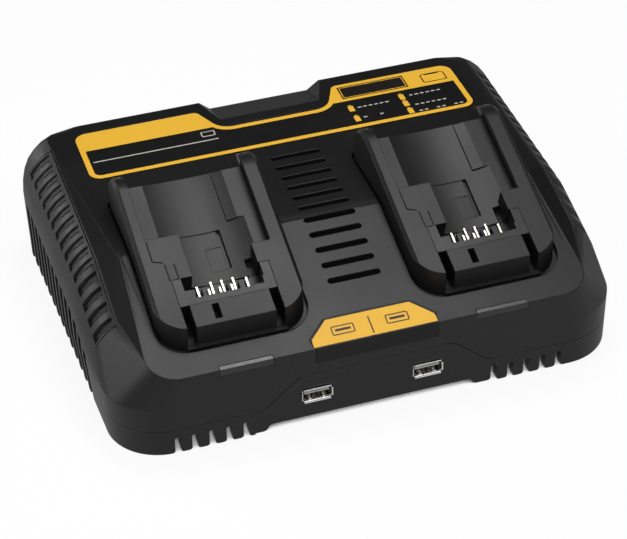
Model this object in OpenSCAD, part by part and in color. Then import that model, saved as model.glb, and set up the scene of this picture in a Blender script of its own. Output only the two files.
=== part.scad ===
// Twin-bay charger for slide-on power tool battery packs, with two USB outlets.
// Origin in the middle of the footprint, on the surface it stands on. The front faces -Y.

/* [Housing] */
// Width over the shoulders
body_w = 235; // [210:1:285]
// Depth over the front and rear walls
body_d = 174.5; // [165:0.5:210]
// Height of the level rear deck
deck_h = 60; // [52:1:70]
// Distance from the middle forward to the crease where the deck starts to fall
crease_y = 21.25; // [15:0.25:30]
// Fall of the front deck in degrees
deck_slope = 16; // [12:0.5:19]
// Height where the side walls start to round over into the shoulders
shoulder_z = 32; // [28:0.5:35]
// Wall thickness of the two housing halves
wall = 3; // [2.4:0.1:3.6]
// Height of the seam between the two halves
seam_h = 13.4; // [12:0.5:17]
// Plan radius of the front corners
corner_r = 26; // [22:1:30]
// Plan radius of the rear corners
rear_r = 11; // [10:1:14]

/* [Vents] */
// Number of louvre slots in each shoulder
louvres = 15; // [8:1:15]
// Pitch of the louvre slots
louvre_pitch = 8.42; // [6:0.02:8.5]
// Number of grooves in each side wall
side_grooves = 14; // [8:1:14]
// Number of slots in the middle of the deck
deck_vents = 11; // [5:1:11]
// Pitch of the deck slots
deck_vent_pitch = 8.25; // [6:0.05:8.5]

/* [Battery bays] */
// Half of the distance between the two bays
bay_x = 56.25; // [50:0.25:62]
// Tilt of a bay in degrees
bay_tilt = 19; // [17:0.5:21]
// Half width of a cradle
cradle_hw = 32; // [31:0.25:33]
// Gap between a cradle and the rim of its deck opening
moat = 1.8; // [1:0.1:2.4]
// Radius of the concave slide floor
slide_r = 65; // [55:1:80]
// Depth of the slide floor below the rails
slide_depth = 9.5; // [8:0.25:10.5]
// Thickness of a cradle's walls
cradle_wall = 2.2; // [1.8:0.1:2.6]

/* [Outlets and lamps] */
// Half of the distance between the USB outlets
usb_x = 24.6; // [20:0.1:26]
// Height of the middle of the USB outlets
usb_z = 15.6; // [15:0.1:18]
// Distance of an indicator lens from the middle
lens_x = 56; // [50:1:62]
// Half length of an indicator lens
lens_hw = 11.4; // [8:0.2:14]

/* [Inside] */
// Length of the main circuit board
board_l = 160; // [140:1:165]
// Width of the main circuit board
board_w = 108; // [100:1:110]
// Thickness of the circuit boards
board_t = 1.6; // [1.2:0.2:2]

/* [Hidden] */

LEFT = -1;
RIGHT = 1;
hair = 0.02;          // thickness of the discs that span the housing form
big = 300;            // longer than anything in the model
fit = 0.1;            // clearance between moulded pieces

// Housing form
half_w = body_w / 2;
half_d = body_d / 2;
base_z = 0.4;         // lower edge of the skirt, just clear of the ground
base_front_hw = half_w - 4.7;      // the side walls lean in towards the front
base_rear_hw = half_w - 0.3;
base_r = 24;                      // plan radius of the front corners at the ground
base_in_front = 2.5;              // the front wall leans in towards the ground
base_in_rear = 1.7;
corner_top = 25;                  // top of the upright front corner, below the bevelled scoop
corner_hw = half_w - 4;
deck_hw = half_w - 23;            // crease between the deck and a shoulder
deck_roll = 1.5;
shoulder_in = half_w - 24.5;      // the shoulder is a quarter of a superellipse about this line
shoulder_n = 1.9;
shoulder_y = 60;                  // it is widest from here to the rear
shoulder_hw = half_w - 0.1;
waist_y = -17;                    // in front of the waist it falls with the deck
waist_hw = half_w - 2.3;
shoulder_front_y = -50;
shoulder_front_hw = half_w - 2.7;
shoulder_slope = 0.25;
shoulder_rear_r = 4.5;            // the rear corner is tighter over the shoulder
rear_edge_in = 4.5;               // the deck ends this far in front of the rear wall
rear_lean = 0.8;
seam_r = 13;                      // plan radius of the front deck corners
seam_hw = half_w - 21;            // half width of the front deck

// Deck and its openings
notch_y = 66.5;                   // crease of the rear notch
notch_fall = 16.5;
notch_hw = 24;
notch_flare = 50;                 // degrees from upright of the notch's side walls
label_t = 0.4;
label_sink = 0.3;
rear_label_y0 = 37.25;
rear_label_y1 = 76.25;
rear_label_hw = 92;
label_r = 6;
vent_hw = 11.7;
vent_slot = 2.8;
vent_y0 = 26.3;                   // rearmost deck slot
louvre_w = 2.9;
louvre_a = [31, 45, 60];          // the slots run round the shoulder between these angles
louvre_top_y = 67.6;              // rearmost louvre, upper end
louvre_foot_y = 70.4;             // and lower end
louvre_ramp = 1.7;                // sloping lead-in behind each slot
louvre_step = 0.3;
line_w = 0.4;                     // thin groove round the louvre panel
line_d = 0.5;
groove_w = 5.1;
groove_d = 1.7;
groove_pitch = 8.2;
groove_y0 = 70;
groove_below = 1.5;               // the grooves start this far below the shoulder

// Seam, skirt and front panel
reveal = 0.12;                    // half of the open line between the halves
lip_h = 3;
lip_t = 1.5;
arch_hw = 53;                     // front panel of the lower half, at the seam
arch_top_hw = 30;
arch_h = 28;
arch_low_r = 8;
arch_high_r = 10;
panel_in = 2.6;                   // border round the recess in the front panel
panel_sink = 0.8;
floor_z0 = 4.2;
floor_t = 2.5;
floor_z1 = floor_z0 + floor_t;
skirt_mid = -2.3;                 // the cuts in the front skirt sit a little to the left
tooth_x = [55.6, 63, 70.4, 77.9, 85.3];
tooth_gap = 2.6;
tooth_top = 8.7;
arch_foot_hw = 45.9;              // the skirt is relieved below the front panel
arch_foot_z = 3.6;

// Bays: u to the right, v up the slope, w out of the sliding plane
bay_y = -49.7;
bay_z = 62.2;
cradle_front = -72.9;             // y of the front wall
cradle_hump_y = 3;                // axis of the rounded rear end
cradle_hump_z = 64;
cradle_rear = 20.5;
cradle_front_r = 13.5;
cradle_rear_r = 6;
edge_in = 1.6;                    // chamfer along the top edges
edge_down = 1.2;
hump_r = sin(bay_tilt) * (cradle_hump_y - bay_y) - cos(bay_tilt) * (cradle_hump_z - bay_z);
flange_t = 2;
flange_out = 3.4;                 // the flange reaches this far under the deck
flange_rear = 9;
moat_front = 3.1;
slide_u0 = -26.5;                 // inner face of the left rail
slide_u1 = 24.8;                  // inner face of the right rail
narrow_u0 = -12;                  // the slide narrows here, in front of the stop face
narrow_u1 = 16.4;
stop_v = 22.9;
step_v = 10.7;
slide_rim_v = 57.5;               // rear rim of the slide
pad_h = 0.8;                      // wear pad on the slide floor, with a rib along its outer side
pad_u0 = 11.5;
pad_u1 = 21;
rib_u0 = 18.2;
rib_h = 1.8;
key_slot = [[-8.1, -22.3, -7], [-5.2, -15, 10]];
floor_slot = [[5.6, 6.6, -10.9], [7.3, 27, 0]];
floor_pocket = [[13, -1, -11.5], [16.3, 8.5, 0]];
floor_line_v = 26.6;
// fine lines in the sliding plane: start u and v, direction, length
plane_lines = [
    [-26.3, 11.4, 90, 10.2], [-26.3, 11.4, -20.5, 4.3],
    [-21.6, 0.4, 90, 8.3], [-17.8, 0.4, 90, 7.8]
];
rail_slot_d = 2.2;
rail_slot_w0 = -6.6;
rail_slot_w1 = -3.2;
block_hw = 20.9;                  // terminal block
block_v0 = -13.3;
block_v1 = 0.4;
block_w0 = -12;
arm_u = 17;
bar_v = -6;
well_w = -9.6;
ledge_hw = 21.6;                    // ledge low on the front wall of a cradle
ledge_z = 44.9;
ledge_t = 1.6;
ledge_out = 1.5;
blade_t = 0.8;
blade_top = -1.4;
// each blade: u, rear end, front end
blades = [
    [-11.5, -4.3], [-6.9, -6.5], [-5.3, -3.3], [-2.2, -6.6],
    [-0.7, -3.4], [2.9, -6.4], [4.2, -3.2], [9.7, -4.5]
];
blade_front = -9.8;

// USB outlet, standard series A receptacle
usb_mid = -2;                     // the pair sits a little to the left
usb_w = 13.1;
usb_h = 5.7;
usb_sheet = 0.3;
usb_depth = 14;
usb_lip_w = 13.6;
usb_lip_h = 7.2;
usb_face = half_d - base_in_front + base_in_front * usb_z / 41;
tongue_t = 1.84;
tongue_w = 11.1;
contact_pitch = 2.5;

lens_z0 = deck_h - (half_d - crease_y) * tan(deck_slope) - 3;
lens_mid = -0.6;
lens_step_z = lens_z0 + 1.9;
lens_in = 1.2 * wall - 0.2;
lens_top_in = 1.9;

// Indicator lamps behind the lenses
lamp_board_hw = 12;
lamp_board_z = floor(10 * (lens_z0 - 7.6)) / 10;
lamp_top = lamp_board_z + board_t + 1.2;
guide_hw = 9;
guide_y0 = wall + 1.3;
guide_y1 = wall + 3.3;
guide_top = lamp_board_z + 8.3;

// Inside
usb_board_z = usb_z - usb_h / 2;
usb_post_x = 31;
core_y = 22;
core_hw = 17;                     // transformer core
core_h = 28;
core_limb = 6;
core_pole = 4.5;
core_lift = 2;
winding_hw = 10;
winding_hd = 11;
bulk_cans = [[-58, 36], [-36, 36]];
output_cans = [[40, 42], [52, 42], [64, 42]];
choke_at = [-60, 12];
choke_r = 7;                      // inner radius of the ring core
choke_w = 5;
choke_h = 9;
wire_t = 1.4;
film_cap_at = [-64, -14];
fuse_at = [-66, -23];
fuse_l = 20;
fuse_r = 2.6;
sink_at = [26, -16];
sink_t = 3;
sink_l = 36;
sink_h = 22;
sink_pitch = 6;
sink_fin = 9;
chip_t = 4.5;
board_x0 = -board_l / 2;
board_y0 = -42;
board_z = 12.4;
board_top = board_z + board_t;
boss_z = 20;                      // where the screw bosses of the halves meet
bosses = [[-92, 72, 58], [92, 72, 58], [17.5 - half_w, -45, 47], [half_w - 17.5, -45, 47], [0, 76, 55], [0, -58, 47]];
boss_r = 3.8;
screw_r = 1.5;
posts = [[-72, -34], [72, -34], [-72, 58], [72, 58]];
feet = [[-95, 52], [95, 52], [-95, -64], [95, -64]];
gland_x = -62;
gland_z = 27;
gland_r = 5.5;
cord_r = 3.4;

/* ---------- shared geometry ---------- */

// two mirrored discs of the housing form; end is -1 for the front and 1 for the rear
module disc_pair(hw, edge, end, z, r) {
    for (side = [LEFT, RIGHT])
        translate([side * (hw - r), end * (edge - r), z])
            cylinder(r = r, h = hair);
}

// height of the sloping front deck at y
function slope_z(y) = deck_h - (-crease_y - y) * tan(deck_slope);
// height of the deck at y
function deck_z(y) = y > -crease_y ? deck_h : slope_z(y);
// how far the shoulder has fallen at y
function fall(y) = max(0, waist_y - y) * shoulder_slope;
function mix(a, b, t) = a + (b - a) * min(1, max(0, t));
// half width of the side wall below the shoulder at y
function wall_x(y) = y > waist_y
    ? mix(waist_hw, shoulder_hw, (y - waist_y) / (shoulder_y - waist_y))
    : mix(waist_hw, shoulder_front_hw, (waist_y - y) / (waist_y - shoulder_front_y));
// half width of the side wall at the ground
function foot_x(y) = mix(base_front_hw, base_rear_hw, (y - shoulder_front_y) / (shoulder_y - shoulder_front_y));
// how far the shoulder reaches out and up at angle a from the upright
function out_part(a) = pow(sin(a), 2 / shoulder_n);
function up_part(a) = pow(cos(a), 2 / shoulder_n);
function shoulder_x(a, y) = shoulder_in + (wall_x(y) - shoulder_in) * out_part(a);
function shoulder_up(a, y) = shoulder_z + (deck_h - shoulder_z) * up_part(a) - fall(y);

// outer form of the closed housing, moved inwards by t
module body_form(t = 0) {
    seam_y = seam_r * cos(deck_slope) - half_d;
    hull() {
        // ground line and the upright front corners
        disc_pair(base_front_hw - t, half_d - base_in_front - t, -1, base_z - t / 3, base_r - t, $fn = 64);
        disc_pair(base_rear_hw - t, half_d - base_in_rear - t, 1, base_z - t / 3, rear_r - t, $fn = 48);
        disc_pair(corner_hw - t, half_d - 0.9 - t, -1, corner_top - t, corner_r - t, $fn = 64);
        // rounded shoulders
        for (a = [25 : 10 : 95]) {
            turn = min(a, 90);
            up = up_part(turn);
            inset = rear_lean * up + (rear_edge_in - rear_lean) * pow(up, 12);
            r = mix(rear_r, shoulder_rear_r, 2 * up);
            disc_pair(shoulder_x(turn, shoulder_y) - t * sin(turn), half_d - inset - t, 1,
                shoulder_up(turn, shoulder_y) - t * cos(turn), r - t, $fn = 48);
            for (y = [waist_y, shoulder_front_y])
                disc_pair(shoulder_x(turn, y) - t * sin(turn), 2 - y, -1,
                    shoulder_up(turn, y) - t * cos(turn), 2, $fn = 16);
        }
        // deck with its rolled rear edge
        for (roll = [0 : 0.25 : 0.75]) {
            disc_pair(deck_hw + deck_roll * roll, half_d - rear_edge_in + 3 * roll - t, 1,
                deck_h - 1.4 * roll * roll - t, 8, $fn = 32);
        }
        disc_pair(deck_hw, crease_y + t * tan(deck_slope / 2), -1, deck_h - t, 2, $fn = 16);
        for (side = [LEFT, RIGHT])
            translate([side * (seam_hw - seam_r), seam_y, slope_z(seam_y) - t / cos(deck_slope)])
                rotate([deck_slope, 0, 0])
                    cylinder(r = seam_r - t / cos(deck_slope), h = hair, $fn = 64);
    }
}

// flat outline from y0 to y1, with front radius rf and rear radius rr
module rounded_outline(hw, y0, y1, rf, rr) {
    translate([-hw, y0 + rf]) square([2 * hw, y1 - y0 - rf - rr]);
    translate([rf - hw, y0]) square([2 * (hw - rf), rf + 1]);
    translate([rr - hw, y1 - rr - 1]) square([2 * (hw - rr), rr + 1]);
    for (side = [LEFT, RIGHT]) {
        translate([side * (hw - rf), y0 + rf]) circle(r = rf, $fn = 64);
        translate([side * (hw - rr), y1 - rr]) circle(r = rr, $fn = 64);
    }
}

// children drawn in the X-Z plane are extruded along Y from y0 to y1
module along_y(y0, y1) {
    translate([0, y1, 0]) rotate([90, 0, 0]) linear_extrude(height = y1 - y0) children();
}

// children drawn in the Y-Z plane are extruded along X, width w about the middle
module along_x(w) {
    rotate([90, 0, 90]) linear_extrude(height = w, center = true) children();
}

// children are placed in the frame of one bay
module in_bay(side) {
    translate([side * bay_x, bay_y, bay_z]) rotate([bay_tilt, 0, 0]) children();
}

// box between two opposite corners
module box(a, b) {
    translate(a) cube(b - a);
}

// points of an arc about (cx, cy) from angle a0 to a1, in n steps
function arc(cx, cy, r, a0, a1, n) = [
    for (i = [0 : n])
        let (a = a0 + (a1 - a0) * i / n)
            [cx + r * cos(a), cy + r * sin(a)]
];

// right half of the arched top edge of the front panel, moved inwards by t
function arch_edge(t) = concat(
    arc(arch_top_hw, arch_h - arch_high_r, arch_high_r - t, 90, 45, 6),
    arc(arch_hw, seam_h + arch_low_r, arch_low_r + t, 225, 270, 6)
);
function mirrored(points) = [for (i = [len(points) - 1 : -1 : 0]) [-points[i][0], points[i][1]]];

// arched front panel in the X-Z plane
module arch_outline(t) {
    edge = arch_edge(t);
    polygon(concat([[-arch_hw - t / 2, -1]], mirrored(edge), edge, [[arch_hw + t / 2, -1]]));
}

// everything that belongs to the lower half, d above or below the middle of the seam
module lower_zone(d) {
    box([-big, -big, -1], [big, big, seam_h + d]);
    along_y(-half_d - 1, -half_d + wall + 6) arch_outline(-d);
}

// slanted cut for the rear notch, moved outwards by t
module rear_notch(t = 0) {
    rise = 12;
    top_hw = notch_hw + rise * tan(notch_flare);
    translate([0, notch_y, deck_h])
        rotate([-notch_fall, 0, 0])
            along_y(-t * 2, 40)
                polygon([[-notch_hw - t, -t], [notch_hw + t, -t], [top_hw + t, rise], [-top_hw - t, rise]]);
}

module side_wall_cuts() {
    for (side = [LEFT, RIGHT])
        for (i = [0 : side_grooves - 1]) {
            y = groove_y0 - i * groove_pitch;
            top = shoulder_z - fall(y) - groove_below;
            lean = atan((wall_x(y) - foot_x(y)) / shoulder_z);
            mirror([side < 0 ? 1 : 0, 0, 0])
                translate([wall_x(y) - groove_d, y, top])
                    rotate([0, lean, 0])
                        box([0, -groove_w / 2, -top - 4], [groove_d + 6, groove_w / 2, 0]);
        }
}

// children are placed on the chord of the shoulder from angle a0 to a1, y0 and y1 at its ends;
// x runs outwards down the chord from 0 to its length, z out of the surface
module on_shoulder(side, a0, a1, y0, y1) {
    run = shoulder_x(a1, y1) - shoulder_x(a0, y0);
    drop = shoulder_up(a0, y0) - shoulder_up(a1, y1);
    mirror([side < 0 ? 1 : 0, 0, 0])
        translate([shoulder_x(a0, y0), y0, shoulder_up(a0, y0)])
            rotate([0, 0, atan((y1 - y0) / run)])
                rotate([0, atan(drop / sqrt(run * run + (y1 - y0) * (y1 - y0))), 0])
                    children();
}
function chord(a0, a1, y0, y1) = norm([
    shoulder_x(a1, y1) - shoulder_x(a0, y0), y1 - y0, shoulder_up(a1, y1) - shoulder_up(a0, y0)]);

module louvre_cuts() {
    for (side = [LEFT, RIGHT])
        for (i = [0 : louvres - 1]) {
            top_y = louvre_top_y - i * louvre_pitch;
            foot_y = louvre_foot_y - i * louvre_pitch;
            mid_y = (top_y + foot_y) / 2;
            tilt = top_y < waist_y ? atan(shoulder_slope) : 0;
            for (k = [0, 1]) {
                y0 = k == 0 ? top_y : mid_y;
                y1 = k == 0 ? mid_y : foot_y;
                l = chord(louvre_a[k], louvre_a[k + 1], y0, y1);
                on_shoulder(side, louvre_a[k], louvre_a[k + 1], y0, y1) {
                    box([-0.2, -louvre_w / 2, -7], [l + 0.2, louvre_w / 2, 4]);
                    translate([0, louvre_w / 2 + louvre_ramp, -louvre_step]) rotate([28 + tilt, 0, 0])
                        box([-0.2, -louvre_ramp - 1, 0], [l + 0.2, 0, 4]);
                    translate([0, louvre_w / 2, -louvre_step])
                        box([-0.2, 0, 0], [l + 0.2, louvre_ramp, 4]);
                }
            }
        }
}

// thin groove that runs round each louvre panel
module panel_lines() {
    last = louvres - 1;
    rear_y = louvre_top_y + 4.4;
    front_y = louvre_top_y - last * louvre_pitch - 2.5;
    skew = louvre_foot_y - louvre_top_y;
    a = louvre_a[0] - 4.5;
    for (side = [LEFT, RIGHT]) {
        mirror([side < 0 ? 1 : 0, 0, 0]) {
            x = shoulder_x(a, 0);
            z = shoulder_up(a, 0);
            translate([x, waist_y, z]) rotate([0, 25, 0])
                box([-line_w / 2, 0, -line_d], [line_w / 2, rear_y - waist_y, 3]);
            translate([x, waist_y, z]) rotate([atan(shoulder_slope), 0, 0]) rotate([0, 25, 0])
                box([-line_w / 2, (front_y - waist_y) * 1.04, -line_d], [line_w / 2, 0, 3]);
        }
        for (k = [0, 1]) {
            a0 = k == 0 ? a : louvre_a[1];
            a1 = louvre_a[k + 1] + k * 3;
            for (y = [front_y, rear_y]) {
                y0 = y + k * skew / 2;
                y1 = y0 + skew / 2;
                on_shoulder(side, a0, a1, y0, y1)
                    box([-0.2, -line_w / 2, -line_d], [chord(a0, a1, y0, y1) + 0.1, line_w / 2, 3]);
            }
        }
    }
}

module deck_vent_cuts() {
    for (i = [0 : deck_vents - 1]) {
        y = vent_y0 - i * deck_vent_pitch;
        translate([0, y, deck_z(y) - wall - 4])
            linear_extrude(height = wall + 8) {
                square([2 * (vent_hw - vent_slot / 2), vent_slot], center = true);
                for (side = [LEFT, RIGHT])
                    translate([side * (vent_hw - vent_slot / 2), 0]) circle(d = vent_slot, $fn = 24);
            }
    }
}

module rear_label_outline(t = 0) {
    difference() {
        rounded_outline(rear_label_hw - t, rear_label_y0 + t, rear_label_y1 - t, label_r - t, label_r - t);
        // the middle of the rear edge runs round the notch
        edge = concat(
            arc(notch_hw - 2, notch_y - 0.5, label_r + t, 270, 345, 6),
            [[notch_hw + 9.3 + t, rear_label_y1 + 1]]);
        polygon(concat(edge, mirrored(edge)));
    }
}

module front_label_zone(t = 0) {
    edge = [[19 - t, -73.6 - t], [27.9 - t, -82.4], [27.2 - t, -half_d + 1]];
    translate([-0.5, 0, 30]) linear_extrude(height = 30) polygon(concat(mirrored(edge), edge));
    box([t - 27, -half_d - 2, 33.3 + t], [27 - t, -half_d + 2, 60]);
}

// children are placed with the origin below the middle of an indicator lens, on the front plane
module at_lens(side) {
    translate([lens_mid + side * lens_x, -half_d, 0]) children();
}

// the lens is deeper under the deck than where it shows
module lens_zone(side, t = 0) {
    at_lens(side)
        for (step = [[lens_top_in, deck_h], [lens_in, lens_step_z]])
            box([-lens_hw - t, -2, lens_z0 - t], [lens_hw + t, step[0] + t, step[1] + t]);
}

module bay_opening(side) {
    translate([side * bay_x, 0, 20]) linear_extrude(height = big)
        rounded_outline(cradle_hw + moat * 0.6, cradle_front - moat_front, cradle_rear + moat * 0.5,
            cradle_front_r, cradle_rear_r + 1);
}

/* ---------- housing ---------- */

module upper_bosses() {
    for (b = bosses)
        translate([b[0], b[1], boss_z]) cylinder(r = boss_r, h = b[2] - boss_z, $fn = 32);
    for (side = [LEFT, RIGHT])
        at_lens(side)
            box([-lamp_board_hw - 1, wall, lamp_board_z - 1.4], [lamp_board_hw + 1, wall + 8, lamp_board_z]);
}

module upper_housing() {
    color("#1b1b1c")
        difference() {
            union() {
                difference() {
                    body_form();
                    difference() {
                        body_form(wall);
                        rear_notch(wall);
                    }
                }
                upper_bosses();
            }
            lower_zone(reveal);
            rear_notch();
            side_wall_cuts();
            louvre_cuts();
            panel_lines();
            deck_vent_cuts();
            for (side = [LEFT, RIGHT]) {
                bay_opening(side);
                lens_zone(side, fit);
            }
            translate([0, 0, deck_h - label_sink]) linear_extrude(height = 5) rear_label_outline();
            difference() {
                front_label_zone();
                body_form(label_sink);
            }
            for (b = bosses)
                translate([b[0], b[1], boss_z - 1]) cylinder(r = screw_r, h = 13, $fn = 32);
            translate([gland_x, half_d + 1, gland_z])
                rotate([90, 0, 0]) cylinder(r = gland_r + fit / 2, h = 12, $fn = 48);
            cradle_screw_holes();
        }
}

module lower_housing() {
    color("#1b1b1c")
        difference() {
            union() {
                difference() {
                    union() {
                        intersection() {
                            body_form();
                            lower_zone(-reveal);
                        }
                        intersection() {
                            body_form(wall + fit);
                            box([-big, -big, floor_z0], [big, big, seam_h + lip_h]);
                        }
                    }
                    difference() {
                        body_form(wall + lip_t);
                        box([-big, -big, floor_z0], [big, big, floor_z1]);
                    }
                    difference() {
                        along_y(-half_d - 1, -half_d + 8) arch_outline(panel_in);
                        body_form(panel_sink);
                    }
                }
                for (b = bosses)
                    translate([b[0], b[1], floor_z0])
                        cylinder(r = boss_r + 0.6, h = boss_z - floor_z0, $fn = 32);
                for (p = posts)
                    translate([p[0], p[1], floor_z0]) cylinder(r = 3.2, h = board_z - floor_z0, $fn = 32);
                usb_posts();
            }
            side_wall_cuts();
            skirt_cuts();
            floor_vents();
            for (b = bosses) {
                translate([b[0], b[1], floor_z0 - 1]) cylinder(r = 3.3, h = 3.8, $fn = 32);
                translate([b[0], b[1], floor_z0]) cylinder(r = 1.9, h = 30, $fn = 32);
            }
            for (p = posts)
                translate([p[0], p[1], floor_z1]) cylinder(r = 1.25, h = 20, $fn = 24);
            for (f = feet)
                translate([f[0], f[1], 0]) cylinder(r = 2, h = 10, $fn = 24);
            for (side = [LEFT, RIGHT])
                box([usb_mid + side * usb_x - usb_w / 2, -half_d - 1, usb_z - usb_h / 2],
                    [usb_mid + side * usb_x + usb_w / 2, -half_d + 12, usb_z + usb_h / 2]);
        }
}

// cut in the front skirt, hw to each side of x, with corners of radius r above and rounded feet beside it
module skirt_gap(x, hw, top, r) {
    edge = concat(arc(hw - r, top - r, r, 90, 0, 4), arc(hw + r, base_z + r, r, 180, 270, 4));
    translate([x, 0, 0])
        along_y(-half_d - 1, -half_d + 14)
            polygon(concat([[-hw - r, -1]], mirrored(edge), edge, [[hw + r, -1]]));
}

module skirt_cuts() {
    for (side = [LEFT, RIGHT])
        for (x = tooth_x)
            skirt_gap(skirt_mid + side * x, tooth_gap / 2, tooth_top, 1.2);
    skirt_gap(skirt_mid, arch_foot_hw, arch_foot_z, 2);
}

module floor_vents() {
    for (side = [LEFT, RIGHT])
        for (i = [0 : 7])
            box([side * 50 - 18, 42 - 9 * i, floor_z0 - 1], [side * 50 + 18, 45 - 9 * i, floor_z1 + 1]);
}

module usb_posts() {
    for (side = [LEFT, RIGHT])
        translate([side * usb_post_x, -half_d + 19, 0])
            box([-2, -3, floor_z0], [2, 3, usb_board_z - board_t]);
}

/* ---------- battery cradles ---------- */

// side outline of a cradle in the Y-Z plane, moved inwards by t
module cradle_side(t) {
    front = cradle_front + t;
    drop = t / cos(bay_tilt);
    polygon(concat(
        [[front, 30], [front, bay_z + (front - bay_y) * tan(bay_tilt) - drop]],
        arc(cradle_hump_y, cradle_hump_z, hump_r - t, 90 + bay_tilt, 0, 18),
        [[cradle_rear - t, 57], [cradle_rear - t, 30]]));
}

// closed outer form of a cradle, moved inwards by t
module cradle_form(side, t) {
    intersection() {
        translate([side * bay_x, 0, 0]) hull() {
            along_x(2 * (cradle_hw - edge_in - t)) cradle_side(t);
            along_x(2 * (cradle_hw - t)) cradle_side(t + edge_down);
        }
        translate([side * bay_x, 0, 20]) linear_extrude(height = 80)
            rounded_outline(cradle_hw - t, cradle_front + t, cradle_rear - t,
                cradle_front_r - t, cradle_rear_r - t);
    }
}

// cylinder whose underside is the slide floor, lifted by h
module slide_cylinder(h = 0) {
    translate([0, -40, slide_r - slide_depth])
        rotate([-90, 0, 0]) cylinder(r = slide_r - h, h = 130, $fn = 240);
}

// raised pad with a rib along its outer side, left standing on the slide floor
module wear_pad() {
    difference() {
        box([pad_u0, 30, -20], [pad_u1, 56, 0]);
        slide_cylinder(pad_h);
    }
    difference() {
        box([rib_u0, 31, -20], [pad_u1, 56, 0]);
        slide_cylinder(pad_h + rib_h);
    }
}

// fine lines in the sliding plane and across the slide floor
module cradle_lines() {
    for (l = plane_lines)
        translate([l[0], l[1], 0])
            rotate([0, 0, l[2]]) box([0, -line_w / 2, -line_d], [l[3], line_w / 2, 1]);
    intersection() {
        slide_cylinder(-line_w);
        box([-10, floor_line_v, -20], [floor_slot[0][0], floor_line_v + line_w, 0]);
    }
}

// everything cut out of a cradle from above, grown by g
module cradle_cuts(side, g) {
    in_bay(side) {
        intersection() {
            difference() {
                slide_cylinder(-g);
                if (g == 0) wear_pad();
            }
            union() {
                box([slide_u0 - g, stop_v - g, -20], [slide_u1 + g, 90, 20]);
                box([narrow_u0 - g, bar_v - g, -20], [narrow_u1 + g, 90, 20]);
                box([narrow_u0 - g, step_v - g, -20], [slide_u1 + g, 90, 20]);
            }
        }
        // undercut of the two rails
        box([slide_u0 - rail_slot_d - g, stop_v - g, rail_slot_w0 - g], [0, 90, rail_slot_w1 + g]);
        box([0, step_v - g, rail_slot_w0 - g], [slide_u1 + rail_slot_d + g, 90, rail_slot_w1 + g]);
        // well of the terminal block
        box([-block_hw - fit - g, block_v0 - fit - g, -40], [block_hw + fit + g, block_v1 + fit + g, 10]);
        // slots beside the front block
        for (s = [0, 1])
            mirror([s, 0, 0])
                box([arm_u - g, -40, -12.5 - g], [block_hw + g, block_v0 + 1, 10]);
        if (g == 0) cradle_lines();
        // key slot in the front block, slot and side pocket in the slide floor
        for (b = [key_slot, floor_slot, floor_pocket])
            box(b[0] - [g, g, g], b[1] + [g, g, 0]);
        // the floor is a little lower beside the slot
        translate([-1.3, 6.4, -slide_depth - 1])
            rotate([4, 0, 0]) box([-g, -g, -g], [7 + g, 12, 5]);
    }
    // ramp behind the slide
    translate([side * bay_x, 0, 0])
        translate([0, bay_y + slide_rim_v * cos(bay_tilt) + slide_depth * sin(bay_tilt),
            bay_z + slide_rim_v * sin(bay_tilt) - slide_depth * cos(bay_tilt)])
            rotate([-45, 0, 0])
                box([slide_u0 - g, -9, -g], [slide_u1 + g, 40, 40]);
}

module cradle(side) {
    color("#1e1e1f")
        difference() {
            union() {
                intersection() {
                    body_form(wall);
                    translate([side * bay_x, 0, corner_top]) linear_extrude(height = big)
                        rounded_outline(cradle_hw + flange_out, cradle_front - 6,
                            cradle_rear + flange_rear, 12, 4);
                }
                cradle_form(side, 0);
            }
            body_form(wall + flange_t);
            difference() {
                cradle_form(side, cradle_wall);
                cradle_cuts(side, cradle_wall);
            }
            cradle_cuts(side, 0);
            cradle_screw_holes();
            // the flange is open in front of the middle
            box([side * bay_x - ledge_hw, -half_d, corner_top], [side * bay_x + ledge_hw, cradle_front, big]);
        }
    // ledge across the front wall
    color("#1e1e1f")
        box([side * bay_x - ledge_hw, cradle_front - ledge_out, ledge_z - ledge_t],
            [side * bay_x + ledge_hw, cradle_front + ledge_out, ledge_z]);
}

module left_battery_cradle() { cradle(LEFT); }
module right_battery_cradle() { cradle(RIGHT); }

cradle_screw_u = 22;
cradle_screw_y = cradle_rear + 4.6;

module at_cradle_screws() {
    for (side = [LEFT, RIGHT], s = [LEFT, RIGHT])
        translate([side * bay_x + s * cradle_screw_u, cradle_screw_y, deck_h - wall - flange_t]) children();
}

module cradle_screw_holes() {
    at_cradle_screws() cylinder(r = screw_r, h = flange_t + 2, $fn = 32);
}

module cradle_screws() {
    color("#a9abad")
        at_cradle_screws() {
            cylinder(r = screw_r, h = flange_t + 1.9, $fn = 32);
            translate([0, 0, -1.8]) cylinder(r = 2.8, h = 1.8, $fn = 32);
        }
}

/* ---------- terminals ---------- */

module terminal_block(side) {
    color("#151516")
        in_bay(side)
            difference() {
                box([-block_hw, block_v0, block_w0], [block_hw, block_v1, -0.15]);
                box([-arm_u, bar_v, well_w], [arm_u, block_v1 + 1, 1]);
                box([10.6, blade_front, well_w], [floor_pocket[1][0], bar_v + 1, 1]);
                for (b = blades)
                    translate([b[0], 0, 0]) {
                        box([-2 * blade_t, blade_front - 0.4, well_w], [2 * blade_t, bar_v + 1, 1]);
                        box([-blade_t / 2, blade_front, block_w0 - 1], [blade_t / 2, b[1], well_w + 1]);
                    }
            }
}

module terminal_blades(side) {
    color("#c9c4b4")
        in_bay(side)
            for (b = blades)
                box([b[0] - blade_t / 2, blade_front, block_w0], [b[0] + blade_t / 2, b[1], blade_top]);
}

module terminal_board(side) {
    color("#1f5a34")
        in_bay(side)
            box([-19, -12.5, block_w0 - board_t], [19, -0.5, block_w0]);
}

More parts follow.
